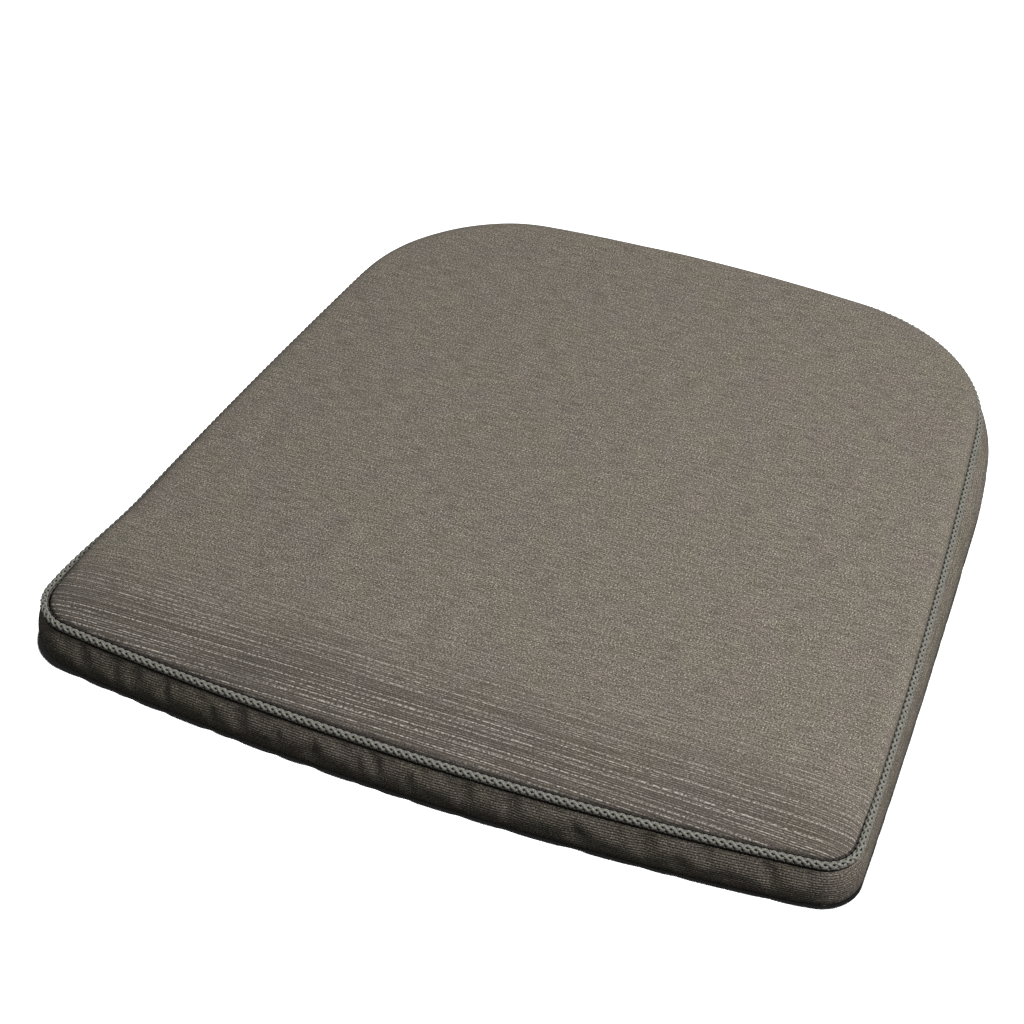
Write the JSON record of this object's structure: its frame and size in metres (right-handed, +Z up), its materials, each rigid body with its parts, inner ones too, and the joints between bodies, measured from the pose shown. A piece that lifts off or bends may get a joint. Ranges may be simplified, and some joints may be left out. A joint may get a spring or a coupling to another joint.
{
  "type": "chair seat pad",
  "caption": "Thin D-shaped chair seat pad: a boxed, zipped woven cover with a corded top seam, crowned top and round back corners over a foam core wrapped in wadding.",
  "frame": {"origin": "under the middle of the pad, on the plane of its underside, halfway between front and back and between its sides", "axes": "+Z up out of the seat, -Y to the front edge, +Y to the rounded back where the zip is, +X to the right as seen from the front"},
  "size_m": [0.5026, 0.4997, 0.0424],
  "materials": {
    "cover_fabric": "matte",
    "cord": "matte",
    "tape": "matte",
    "thread": "matte",
    "foam": "matte",
    "wadding": "matte",
    "coil": "satin",
    "zip_metal": "satin"
  },
  "bodies": {
    "pad": {"bottom_panel": "cover_fabric", "cord_tape": "tape", "cord_trim": "cord", "edge_wadding": "wadding", "foam_core": "foam", "gusset_front": "cover_fabric", "gusset_rear_lower": "cover_fabric", "gusset_rear_upper": "cover_fabric", "top_panel": "cover_fabric", "top_seam_thread": "thread", "wadding_bottom": "wadding", "wadding_top": "wadding", "zip_coil_lower": "coil", "zip_coil_upper": "coil", "zip_stitching_lower": "thread", "zip_stitching_upper": "thread", "zip_stop_closed_end": "zip_metal", "zip_stop_open_end": "zip_metal", "zip_tape_lower": "tape", "zip_tape_upper": "tape"},
    "zip_slider": {"zip_slider": "zip_metal"},
    "zip_pull": {"zip_pull": "zip_metal"}
  },
  "joints": [
    {"name": "slider_travel", "type": "hinge", "parent": "pad", "child": "zip_slider", "pos_m": [0, -0.92781, 0.01125], "axis": [0, 0, 1], "range_deg": [0, 9.78]},
    {"name": "pull_swing", "type": "hinge", "parent": "zip_slider", "child": "zip_pull", "pos_m": [0.10065, 0.2479, 0.01125], "axis": [0, 0, -1], "range_deg": [0, 180]}
  ]
}
